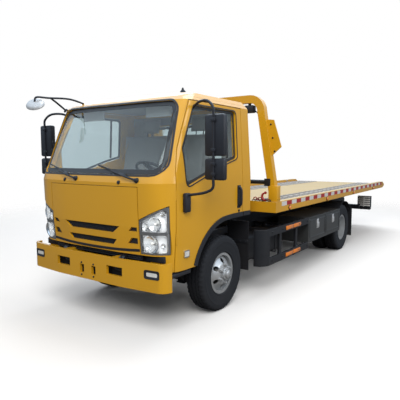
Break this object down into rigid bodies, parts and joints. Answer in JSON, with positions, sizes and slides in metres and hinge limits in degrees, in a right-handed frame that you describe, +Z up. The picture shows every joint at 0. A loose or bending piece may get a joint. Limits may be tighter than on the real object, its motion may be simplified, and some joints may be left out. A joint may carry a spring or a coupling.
{
  "type": "flatbed tow truck",
  "caption": "Cab-over flatbed tow truck with a tilting, sliding bed, head arch, winch and rear towing arm.",
  "frame": {"origin": "on the road under the middle of the truck's box", "axes": "+X to the truck's left, +Y to its rear, +Z up; the front faces -Y"},
  "size_m": [2.565, 7.9035, 2.38],
  "materials": {
    "cab_paint": "amber yellow enamel, gloss",
    "bed_paint": "pale amber enamel, satin and scuffed",
    "frame_black": "black chassis paint, satin",
    "cast_dark": "dark castings",
    "box_grey": "dark grey enamel, satin",
    "wheel_silver": "silver wheel paint",
    "tyre_rubber": "black road tyre",
    "rod_chrome": "hard chrome",
    "black_plastic": "black moulded plastic",
    "lamp_glass": "clear lamp lens",
    "window_glass": "tinted safety glass",
    "seat_cloth": "grey woven cloth",
    "guard_rubber": "black rubber and sheet"
  },
  "bodies": {
    "chassis": {"chassis_frame": "frame_black", "front_axle": "cast_dark", "rear_axle": "cast_dark", "leaf_springs": "frame_black", "drive_shaft": "frame_black", "engine": "cast_dark", "fuel_tank": "frame_black", "battery_box": "frame_black", "front_bumper": "cab_paint", "chassis_lamps": "black_plastic", "side_guards": "frame_black", "toolboxes": "box_grey", "rear_mudguards": "guard_rubber", "front_mudflaps": "guard_rubber"},
    "knuckle_left": {"knuckle_left": "cast_dark"},
    "knuckle_right": {"knuckle_right": "cast_dark"},
    "wheel_front_left": {"tyre_front_left": "tyre_rubber", "rim_front_left": "wheel_silver"},
    "wheel_front_right": {"tyre_front_right": "tyre_rubber", "rim_front_right": "wheel_silver"},
    "wheels_rear_left": {"tyres_rear_left": "tyre_rubber", "rims_rear_left": "wheel_silver"},
    "wheels_rear_right": {"tyres_rear_right": "tyre_rubber", "rims_rear_right": "wheel_silver"},
    "cab": {"cab_shell": "cab_paint", "cab_roof": "cab_paint", "cab_floor": "frame_black", "front_panel": "cab_paint", "grille": "black_plastic", "headlamps": "lamp_glass", "cab_glass": "window_glass", "dashboard": "black_plastic", "seats": "seat_cloth", "wipers": "black_plastic", "front_view_mirror": "black_plastic"},
    "door_left": {"door_left": "cab_paint", "door_glass_left": "window_glass", "mirrors_left": "black_plastic"},
    "door_right": {"door_right": "cab_paint", "door_glass_right": "window_glass", "mirrors_right": "black_plastic"},
    "steering_wheel": {"steering_wheel": "black_plastic"},
    "tilt_frame": {"tilt_frame": "frame_black", "slide_barrel": "frame_black"},
    "lift_barrels": {"lift_barrels": "frame_black"},
    "lift_rods": {"lift_rods": "rod_chrome"},
    "bed": {"bed_deck": "bed_paint", "head_arch": "cab_paint", "winch": "frame_black", "slide_rod": "rod_chrome"},
    "tow_boom": {"tow_boom": "frame_black"},
    "tow_crossbar": {"tow_crossbar": "frame_black"},
    "box_door_front_left": {"box_door_front_left": "box_grey"},
    "box_door_rear_left": {"box_door_rear_left": "box_grey"},
    "box_door_front_right": {"box_door_front_right": "box_grey"},
    "box_door_rear_right": {"box_door_rear_right": "box_grey"}
  },
  "joints": [
    {"name": "steer_left", "type": "hinge", "parent": "chassis", "child": "knuckle_left", "pos_m": [0.66, -2.8425, 0.4025], "axis": [0, 0, 1], "range_deg": [-32, 32]},
    {"name": "steer_right", "type": "hinge", "parent": "chassis", "child": "knuckle_right", "pos_m": [-0.66, -2.8425, 0.4025], "axis": [0, 0, 1], "range_deg": [-32, 32]},
    {"name": "spin_front_left", "type": "hinge", "parent": "knuckle_left", "child": "wheel_front_left", "pos_m": [0.752, -2.8425, 0.4025], "axis": [1, 0, 0], "continuous": true},
    {"name": "spin_front_right", "type": "hinge", "parent": "knuckle_right", "child": "wheel_front_right", "pos_m": [-0.752, -2.8425, 0.4025], "axis": [1, 0, 0], "continuous": true},
    {"name": "spin_rear_left", "type": "hinge", "parent": "chassis", "child": "wheels_rear_left", "pos_m": [0.7125, 0.9725, 0.4025], "axis": [1, 0, 0], "continuous": true},
    {"name": "spin_rear_right", "type": "hinge", "parent": "chassis", "child": "wheels_rear_right", "pos_m": [-0.7125, 0.9725, 0.4025], "axis": [1, 0, 0], "continuous": true},
    {"name": "cab_tilt", "type": "hinge", "parent": "chassis", "child": "cab", "pos_m": [0, -3.8625, 0.69], "axis": [1, 0, 0], "range_deg": [0, 45]},
    {"name": "door_left", "type": "hinge", "parent": "cab", "child": "door_left", "pos_m": [0.893, -3.6875, 1.2], "axis": [0, 0, -1], "range_deg": [0, 70]},
    {"name": "door_right", "type": "hinge", "parent": "cab", "child": "door_right", "pos_m": [-0.893, -3.6875, 1.2], "axis": [0, 0, 1], "range_deg": [0, 70]},
    {"name": "steering_wheel", "type": "hinge", "parent": "cab", "child": "steering_wheel", "pos_m": [0.37, -3.3625, 1.475], "axis": [0, 0.5299, 0.848], "range_deg": [-580, 580]},
    {"name": "bed_tilt", "type": "hinge", "parent": "chassis", "child": "tilt_frame", "pos_m": [0, 2.9075, 0.69], "axis": [-1, 0, 0], "range_deg": [0, 14]},
    {"name": "bed_slide", "type": "slide", "parent": "tilt_frame", "child": "bed", "axis": [0, 1, 0], "range_m": [0, 3.1]},
    {"name": "lift_swing", "type": "hinge", "parent": "chassis", "child": "lift_barrels", "pos_m": [0, 0.5575, 0.6], "axis": [-1, 0, 0], "range_deg": [0, 37.57]},
    {"name": "lift_push", "type": "slide", "parent": "lift_barrels", "child": "lift_rods", "axis": [0, -0.9823, 0.1871], "range_m": [0, 0.31079]},
    {"name": "tow_lift", "type": "hinge", "parent": "chassis", "child": "tow_boom", "pos_m": [0, 2.4575, 0.46], "axis": [-1, 0, 0], "range_deg": [0, 9]},
    {"name": "tow_slide", "type": "slide", "parent": "tow_boom", "child": "tow_crossbar", "axis": [0, 1, 0], "range_m": [0, 0.5]},
    {"name": "box_door_front_left", "type": "hinge", "parent": "chassis", "child": "box_door_front_left", "pos_m": [1.034, -0.2425, 0.461], "axis": [0, 1, 0], "range_deg": [0, 90]},
    {"name": "box_door_rear_left", "type": "hinge", "parent": "chassis", "child": "box_door_rear_left", "pos_m": [1.034, -0.2425, 0.461], "axis": [0, 1, 0], "range_deg": [0, 90]},
    {"name": "box_door_front_right", "type": "hinge", "parent": "chassis", "child": "box_door_front_right", "pos_m": [-1.034, -0.2425, 0.461], "axis": [0, -1, 0], "range_deg": [0, 90]},
    {"name": "box_door_rear_right", "type": "hinge", "parent": "chassis", "child": "box_door_rear_right", "pos_m": [-1.034, -0.2425, 0.461], "axis": [0, -1, 0], "range_deg": [0, 90]}
  ],
  "couplings": [
    {"joint": "steer_right", "follows": "steer_left", "ratio": 1},
    {"joint": "steering_wheel", "follows": "steer_left", "ratio": 18},
    {"joint": "lift_swing", "follows": "bed_tilt", "ratio": 2.648},
    {"joint": "lift_push", "follows": "bed_tilt", "m_per_rad": 1.2515}
  ]
}
